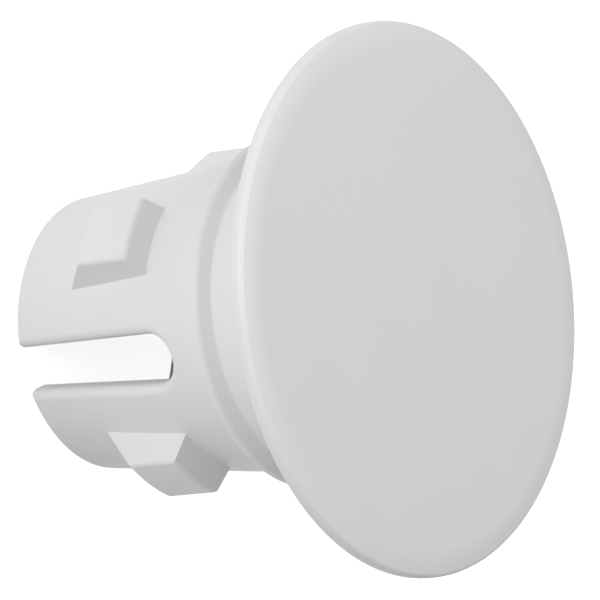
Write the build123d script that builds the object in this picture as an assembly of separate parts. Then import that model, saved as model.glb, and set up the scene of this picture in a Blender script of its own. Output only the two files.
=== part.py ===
"""One-piece moulded plastic hole plug: round cover head, stop collar, hollow split barrel with four snap barbs.

The plug stands on the ends of its two legs. +Z runs along its axis towards the head, Z = 0 is the plane
of the leg ends, and the two slots open towards +X and -X, so the legs flex in Y. All lengths are in
millimetres and all angles in degrees.
"""

from build123d import *
import math
import os

# ---- driving dimensions ------------------------------------------------------------------------

# Cover head: a thin disc, flat in front, that falls away a little towards its rim.
HEAD_DIAMETER = 36.0
HEAD_THICKNESS = 1.05
HEAD_FALL_WIDTH = 1.2  # sloped ring round the flat front
HEAD_FALL = 0.3  # how far that ring drops at the rim
HEAD_FLAT_ROUND = 4.0  # large round between the flat front and the sloped ring
HEAD_RIM_ROUND = 0.4  # round of the front edge of the rim
HEAD_BACK_ROUND = 0.15  # light break of the rear edge

# Levels, measured down from the front face of the head.
COLLAR_DEPTH = 9.5  # step of the stop collar, which lands on the panel
PANEL_GRIP = 4.8  # collar step to the catch of the barbs
OVERALL_DEPTH = 26.2  # front face to the leg ends

# Neck and stop collar, both a step larger than the barrel.
NECK_STEP = 0.5  # radial, above the barrel
NECK_ROOT_ROUND = 0.5  # inside round between the neck and the head
COLLAR_STEP = 1.4  # radial, above the barrel
COLLAR_LAND = 0.5  # straight part of the collar, at its step
COLLAR_SLOPE = 0.65  # length of its back slope
COLLAR_LIP = 0.15  # round of the edge of the step
COLLAR_CREST = 0.6  # round where the back slope starts
COLLAR_FOOT = 0.25  # round between the back slope and the neck

# Hollow barrel: straight below the collar, then tapered towards the leg ends.
BARREL_DIAMETER = 20.4
BARREL_STRAIGHT = 4.1  # collar step to the start of the taper
BARREL_BEND = 4.0  # large round where the taper starts
LEG_END_DIAMETER = 18.05  # the tapered legs, extended to their ends
WALL = 1.5
END_BEVEL = 0.35  # bevel of the outer edge of the leg ends
FLOOR_THICKNESS = 1.6  # solid floor of the hollow, behind the front face
HOLLOW_CORNER_ROUND = 1.2

# Slots that split the barrel into two legs, a little narrower at the leg ends.
SLOT_ROOT_WIDTH = 3.3
SLOT_END_WIDTH = 2.8
SLOT_ROOT_GAP = 3.4  # collar step to the round root of the slots
SLOT_EDGE_ROUND = 0.6  # round of the slots' outer edges
SLOT_MOUTH_ROUND = 0.4  # round of the corners between the slots and the leg ends

# Snap barbs, two on each leg.
BARB_ANGLE = 46.1  # middle of each barb, from the slots' centre plane
BARB_WIDTH = 4.9  # across the foot of a barb
BARB_DRAFT = 5.0  # lean of each flank towards the barb's middle
BARB_HEIGHT = 1.8  # above the barrel
BARB_LAND_LENGTH = 3.8
BARB_RAMP_LENGTH = 2.4
BARB_CATCH_LEAN = 0.5  # how far the catch leans towards the leg end over its height
BARB_EDGE_ROUND = 0.35  # round of the edges about the land
BARB_ROOT_SINK = 0.7  # how far each barb runs into the wall of the leg

NEAR = 1e-3  # how closely an edge is matched to its place
SKIN = 0.1  # how closely an edge is matched to the outside of the barrel

# ---- derived levels (Z up from the leg ends) ---------------------------------------------------

FRONT_Z = OVERALL_DEPTH
HEAD_BACK_Z = FRONT_Z - HEAD_THICKNESS
COLLAR_Z = FRONT_Z - COLLAR_DEPTH
CATCH_Z = COLLAR_Z - PANEL_GRIP
TAPER_Z = COLLAR_Z - BARREL_STRAIGHT
SLOT_ROOT_Z = COLLAR_Z - SLOT_ROOT_GAP
FLOOR_Z = FRONT_Z - FLOOR_THICKNESS


def leg_radius(z):
    """Outer radius of the barrel and its tapered legs at a level below the collar."""
    share = min(z / TAPER_Z, 1)
    return LEG_END_DIAMETER / 2 + share * (BARREL_DIAMETER - LEG_END_DIAMETER) / 2


def turned(points):
    """Solid of revolution about Z from a closed outline of radius, level and corner round."""
    outline = make_face(Polyline(*[(r, 0, z) for r, z, corner in points], close=True))
    for r, z, corner in points:
        if corner:
            outline = fillet(outline.vertices().sort_by_distance((r, 0, z))[0], corner)
    return revolve(outline, Axis.Z)


def outer_body():
    """Head, neck, collar and barrel as one turned form without the hollow."""
    head, barrel = HEAD_DIAMETER / 2, BARREL_DIAMETER / 2
    neck, collar = barrel + NECK_STEP, barrel + COLLAR_STEP
    slope_z = COLLAR_Z + COLLAR_LAND
    return turned(
        [
            (0, 0, 0),
            (LEG_END_DIAMETER / 2, 0, 0),
            (barrel, TAPER_Z, BARREL_BEND),
            (barrel, COLLAR_Z, 0),
            (collar, COLLAR_Z, COLLAR_LIP),
            (collar, slope_z, COLLAR_CREST),
            (neck, slope_z + COLLAR_SLOPE, COLLAR_FOOT),
            (neck, HEAD_BACK_Z, NECK_ROOT_ROUND),
            (head, HEAD_BACK_Z, HEAD_BACK_ROUND),
            (head, FRONT_Z - HEAD_FALL, HEAD_RIM_ROUND),
            (head - HEAD_FALL_WIDTH, FRONT_Z, HEAD_FLAT_ROUND),
            (0, FRONT_Z, 0),
        ]
    )


def hollow():
    """Space inside the barrel and neck, open at the leg ends."""
    end = LEG_END_DIAMETER / 2 - WALL
    top = BARREL_DIAMETER / 2 - WALL
    return turned([(0, 0, 0), (end, 0, 0), (top, TAPER_Z, 0), (top, FLOOR_Z, HOLLOW_CORNER_ROUND), (0, FLOOR_Z, 0)])


def slot():
    """Slightly tapered slot with a round root, through both sides of the barrel."""
    radius = SLOT_ROOT_WIDTH / 2
    root = SLOT_ROOT_Z - radius
    end = SLOT_END_WIDTH / 2
    lean = math.asin(radius / math.hypot(end, root)) - math.atan2(end, root)
    y, z = radius * math.cos(lean), root - radius * math.sin(lean)
    outline = Polyline((0, -end, 0), (0, end, 0), (0, y, z), (0, -y, z), close=True)
    straight = extrude(make_face(outline), amount=HEAD_DIAMETER / 2, dir=(1, 0, 0), both=True)
    return straight + Pos(0, 0, root) * Rot(0, 90, 0) * Cylinder(radius, HEAD_DIAMETER)


def slot_outer_edges(body):
    """Edges where the slots leave the outside of the barrel."""
    edges = []
    for edge in body.edges():
        middle = edge.position_at(0.5)
        in_slot = abs(middle.Y) < SLOT_ROOT_WIDTH / 2 + NEAR and NEAR < middle.Z < SLOT_ROOT_Z + NEAR
        if in_slot and abs(math.hypot(middle.X, middle.Y) - leg_radius(middle.Z)) < SKIN:
            edges.append(edge)
    return edges


def mouth_corners(body):
    """Corner edges between the slot faces and the leg ends."""
    edges = []
    for edge in body.edges().filter_by(Axis.X):
        middle = edge.position_at(0.5)
        if abs(middle.Z) < NEAR and abs(abs(middle.Y) - SLOT_END_WIDTH / 2) < NEAR:
            edges.append(edge)
    return edges


def end_bevel():
    """Ring cut from the outer edge of the leg ends."""
    outside = LEG_END_DIAMETER / 2
    rim = outside + END_BEVEL
    return turned([(outside - END_BEVEL, 0, 0), (rim, 0, 0), (rim, 2 * END_BEVEL, 0)])


def barb():
    """One barb of the leg on the +Y side, at +X: ramp, land and leaning catch."""
    crest_z = CATCH_Z - BARB_CATCH_LEAN
    land_z = crest_z - BARB_LAND_LENGTH
    toe_z = land_z - BARB_RAMP_LENGTH
    catch, toe = leg_radius(CATCH_Z), leg_radius(toe_z)
    crest = catch + BARB_HEIGHT
    ring = turned(
        [
            (toe - BARB_ROOT_SINK, toe_z, 0),
            (toe, toe_z, 0),
            (crest, land_z, 0),
            (crest, crest_z, 0),
            (catch, CATCH_Z, 0),
            (catch - BARB_ROOT_SINK, CATCH_Z, 0),
        ]
    )
    reach = HEAD_DIAMETER / 2
    lean = math.tan(math.radians(BARB_DRAFT))
    inner = BARB_WIDTH / 2 + BARREL_DIAMETER / 2 * lean
    outer = inner - reach * lean
    wedge = Polyline((0, -inner), (reach, -outer), (reach, outer), (0, inner), close=True)
    band = Rot(0, 0, BARB_ANGLE) * extrude(make_face(wedge), amount=CATCH_Z)
    piece = ring & band
    rounded = []
    for edge in piece.edges():
        middle = edge.position_at(0.5)
        if math.hypot(middle.X, middle.Y) > crest - NEAR:
            rounded.append(edge)
    return fillet(rounded, BARB_EDGE_ROUND)


if __name__ == "__main__":
    os.makedirs("parts", exist_ok=True)
    plug = outer_body() - hollow() - slot()
    plug = fillet(slot_outer_edges(plug), SLOT_EDGE_ROUND)
    plug = fillet(mouth_corners(plug), SLOT_MOUTH_ROUND) - end_bevel()
    pair = barb() + mirror(barb(), Plane.YZ)
    plug = plug + pair + mirror(pair, Plane.XZ)
    export_step(plug, "parts/hole_plug.step")
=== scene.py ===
import bpy
import math
from mathutils import Matrix, Vector


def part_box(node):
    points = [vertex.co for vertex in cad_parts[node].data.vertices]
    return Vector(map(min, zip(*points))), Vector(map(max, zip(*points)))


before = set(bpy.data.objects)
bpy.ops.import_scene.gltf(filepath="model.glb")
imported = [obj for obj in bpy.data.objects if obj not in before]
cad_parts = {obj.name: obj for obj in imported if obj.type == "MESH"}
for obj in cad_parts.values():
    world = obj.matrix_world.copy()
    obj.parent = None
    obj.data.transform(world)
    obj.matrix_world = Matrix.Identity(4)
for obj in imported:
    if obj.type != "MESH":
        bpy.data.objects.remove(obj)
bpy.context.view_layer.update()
scene = bpy.context.scene

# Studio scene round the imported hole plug: camera, moulded plastic, pale floor and soft light.

# ---- values ------------------------------------------------------------------------------------

# Camera: a long lens, turned on its side, so the plug's axis lies across the picture.
VIEW_AZIMUTH = 77.64  # degrees round +Z; 0 looks from -Y and 90 from +X
VIEW_ELEVATION = 37.3
VIEW_ROLL = -83.65  # turn of the picture about the line of sight
VIEW_LENS = 420.0  # mm
VIEW_SENSOR = 36.0  # mm
VIEW_DISTANCE = 0.4498  # m, along the line of sight to the front of the head
VIEW_SIDE = 0.00751  # m, how far the head's centre lies right of the picture's centre
VIEW_DROP = -0.00013  # m, and below it
VIEW_NEAR = 0.01  # m
VIEW_FAR = 20.0  # m

# Plastic.
WHITE = (0.800, 0.800, 0.796)
FLOW_SHADE = 0.985  # share of the white in the darkest flow clouds
SATIN = (0.40, 0.50)  # roughness, from the smoothest to the dullest patches
PLASTIC_IOR = 1.5
PLASTIC_SPECULAR = 0.35

# Noises on the plastic: scale, detail and roughness of each.
FLOW_CLOUDS = (160.0, 3.0, 0.5)
GLOSS_PATCHES = (420.0, 4.0, 0.6)
TOOL_GRAIN = (2600.0, 3.0, 0.55)
SLOW_SWELL = (300.0, 1.0, 0.5)
NOISE_MIDDLE = (0.3, 0.7)  # range that most of a noise's values fall in

# Bumps: strength, and height in metres.
GRAIN_BUMP = (0.10, 0.00003)
SWELL_BUMP = (0.12, 0.00008)

# Floor and background.
BACKGROUND = (1.0, 1.0, 1.0)
FLOOR = (0.85, 0.85, 0.85)
FLOOR_LIFT = 0.85  # glow that only the camera and reflections see; below 1, so that the shadow stays
FLOOR_ROUGHNESS = 0.9
FLOOR_SPECULAR = 0.1
FLOOR_REACH = 3.0  # m, each way from the plug
FLOOR_GAP = 0.00002  # m, keeps the floor just clear of the leg ends

# Light: an even sky and two soft lamps, whose azimuths run as the camera's does.
SKY_LEVEL = 0.35
LAMPS = {  # azimuth and elevation in degrees, distance and size in m, power in W
    "key": (60.0, 12.0, 0.6, 0.25, 1.52),
    "head_light": (0.0, 70.0, 0.2, 0.12, 0.144),
}

LOW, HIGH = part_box("hole_plug")
HEAD_FRONT = Vector(((LOW[0] + HIGH[0]) / 2, (LOW[1] + HIGH[1]) / 2, HIGH[2]))
MIDDLE = Vector((0, 0, HIGH[2] / 2))


def direction(azimuth, elevation):
    """Unit vector from the plug towards an azimuth and elevation in degrees."""
    a, e = math.radians(azimuth), math.radians(elevation)
    return Vector((math.cos(e) * math.sin(a), -math.cos(e) * math.cos(a), math.sin(e)))


# ---- camera ------------------------------------------------------------------------------------

to_camera = direction(VIEW_AZIMUTH, VIEW_ELEVATION)
ahead = -to_camera
level_up = (Vector((0, 0, 1)) - to_camera * to_camera.z).normalized()
level_right = ahead.cross(level_up)
roll = math.radians(VIEW_ROLL)
up = math.cos(roll) * level_up + math.sin(roll) * level_right
right = math.cos(roll) * level_right - math.sin(roll) * level_up

lens = bpy.data.cameras.new("camera")
lens.lens = VIEW_LENS
lens.sensor_width = VIEW_SENSOR
lens.clip_start = VIEW_NEAR
lens.clip_end = VIEW_FAR
camera = bpy.data.objects.new("camera", lens)
turn = Matrix((right, up, to_camera)).transposed()
place = HEAD_FRONT - right * VIEW_SIDE + up * VIEW_DROP + to_camera * VIEW_DISTANCE
camera.matrix_world = Matrix.Translation(place) @ turn.to_4x4()
scene.collection.objects.link(camera)
scene.camera = camera

# ---- materials ---------------------------------------------------------------------------------


def node_material(name):
    """A new node material with its node tree and its Principled shader."""
    made = bpy.data.materials.new(name)
    made.use_nodes = True
    return made, made.node_tree, made.node_tree.nodes["Principled BSDF"]


def noise(tree, place, scale, detail, roughness):
    """A noise on object coordinates, which are metres."""
    made = tree.nodes.new("ShaderNodeTexNoise")
    made.inputs["Scale"].default_value = scale
    made.inputs["Detail"].default_value = detail
    made.inputs["Roughness"].default_value = roughness
    tree.links.new(place.outputs["Object"], made.inputs["Vector"])
    return made.outputs["Fac"]


def spread(tree, source, low, high):
    """Maps the middle of a noise onto a small range."""
    made = tree.nodes.new("ShaderNodeMapRange")
    made.inputs["From Min"].default_value = NOISE_MIDDLE[0]
    made.inputs["From Max"].default_value = NOISE_MIDDLE[1]
    made.inputs["To Min"].default_value = low
    made.inputs["To Max"].default_value = high
    tree.links.new(source, made.inputs["Value"])
    return made.outputs["Result"]


def bump(tree, height, strength, distance):
    """A bump node whose relief follows a noise."""
    made = tree.nodes.new("ShaderNodeBump")
    made.inputs["Strength"].default_value = strength
    made.inputs["Distance"].default_value = distance
    tree.links.new(height, made.inputs["Height"])
    return made


def moulded_plastic():
    """Satin white moulded plastic: faint flow clouds, fine tool grain and a slightly uneven gloss."""
    made, tree, shader = node_material("moulded_plastic")
    place = tree.nodes.new("ShaderNodeTexCoord")
    tint = tree.nodes.new("ShaderNodeMix")
    tint.data_type = "RGBA"
    tint.inputs["A"].default_value = (*(c * FLOW_SHADE for c in WHITE), 1.0)
    tint.inputs["B"].default_value = (*WHITE, 1.0)
    tree.links.new(spread(tree, noise(tree, place, *FLOW_CLOUDS), 0.0, 1.0), tint.inputs["Factor"])
    tree.links.new(tint.outputs["Result"], shader.inputs["Base Color"])
    tree.links.new(spread(tree, noise(tree, place, *GLOSS_PATCHES), *SATIN), shader.inputs["Roughness"])
    fine = bump(tree, noise(tree, place, *TOOL_GRAIN), *GRAIN_BUMP)
    broad = bump(tree, noise(tree, place, *SLOW_SWELL), *SWELL_BUMP)
    tree.links.new(fine.outputs["Normal"], broad.inputs["Normal"])
    tree.links.new(broad.outputs["Normal"], shader.inputs["Normal"])
    shader.inputs["IOR"].default_value = PLASTIC_IOR
    shader.inputs["Specular IOR Level"].default_value = PLASTIC_SPECULAR
    return made


def seen_directly(tree):
    """1 for camera, glossy and transmission rays, 0 for the rays that light the object."""
    path = tree.nodes.new("ShaderNodeLightPath")
    seen = path.outputs["Is Camera Ray"]
    for name in ("Is Glossy Ray", "Is Transmission Ray"):
        either = tree.nodes.new("ShaderNodeMath")
        either.operation = "MAXIMUM"
        tree.links.new(seen, either.inputs[0])
        tree.links.new(path.outputs[name], either.inputs[1])
        seen = either.outputs["Value"]
    return seen


def floor_material():
    """Pale studio floor that reads as white and still takes the plug's soft shadow."""
    made, tree, shader = node_material("floor_white")
    shader.inputs["Base Color"].default_value = (*FLOOR, 1.0)
    shader.inputs["Roughness"].default_value = FLOOR_ROUGHNESS
    shader.inputs["Specular IOR Level"].default_value = FLOOR_SPECULAR
    lift = tree.nodes.new("ShaderNodeMath")
    lift.operation = "MULTIPLY"
    lift.inputs[1].default_value = FLOOR_LIFT
    tree.links.new(seen_directly(tree), lift.inputs[0])
    shader.inputs["Emission Color"].default_value = (*BACKGROUND, 1.0)
    tree.links.new(lift.outputs["Value"], shader.inputs["Emission Strength"])
    return made


plastic = moulded_plastic()
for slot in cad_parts["hole_plug"].material_slots:
    slot.material = plastic

# ---- floor -------------------------------------------------------------------------------------

ground = bpy.data.meshes.new("floor")
corners = [
    (x * FLOOR_REACH, y * FLOOR_REACH, -FLOOR_GAP) for x, y in ((-1, -1), (1, -1), (1, 1), (-1, 1))
]
ground.from_pydata(corners, [], [(0, 1, 2, 3)])
floor = bpy.data.objects.new("floor", ground)
scene.collection.objects.link(floor)
ground.materials.append(floor_material())

# ---- light -------------------------------------------------------------------------------------


def soft_lamp(name, azimuth, elevation, distance, size, power):
    """A square soft lamp aimed at the middle of the plug."""
    lamp = bpy.data.lights.new(name, "AREA")
    lamp.shape = "SQUARE"
    lamp.size = size
    lamp.energy = power
    made = bpy.data.objects.new(name, lamp)
    way = direction(azimuth, elevation)
    made.location = MIDDLE + way * distance
    made.rotation_euler = way.to_track_quat("Z", "Y").to_euler()
    scene.collection.objects.link(made)


for name, settings in LAMPS.items():
    soft_lamp(name, *settings)

world = bpy.data.worlds.new("studio")
scene.world = world
world.use_nodes = True
sky = world.node_tree
shine = sky.nodes["Background"]
shine.inputs["Color"].default_value = (*BACKGROUND, 1.0)
level = sky.nodes.new("ShaderNodeMapRange")
level.inputs["To Min"].default_value = SKY_LEVEL
level.inputs["To Max"].default_value = 1.0
sky.links.new(seen_directly(sky), level.inputs["Value"])
sky.links.new(level.outputs["Result"], shine.inputs["Strength"])

scene.view_settings.view_transform = "Standard"
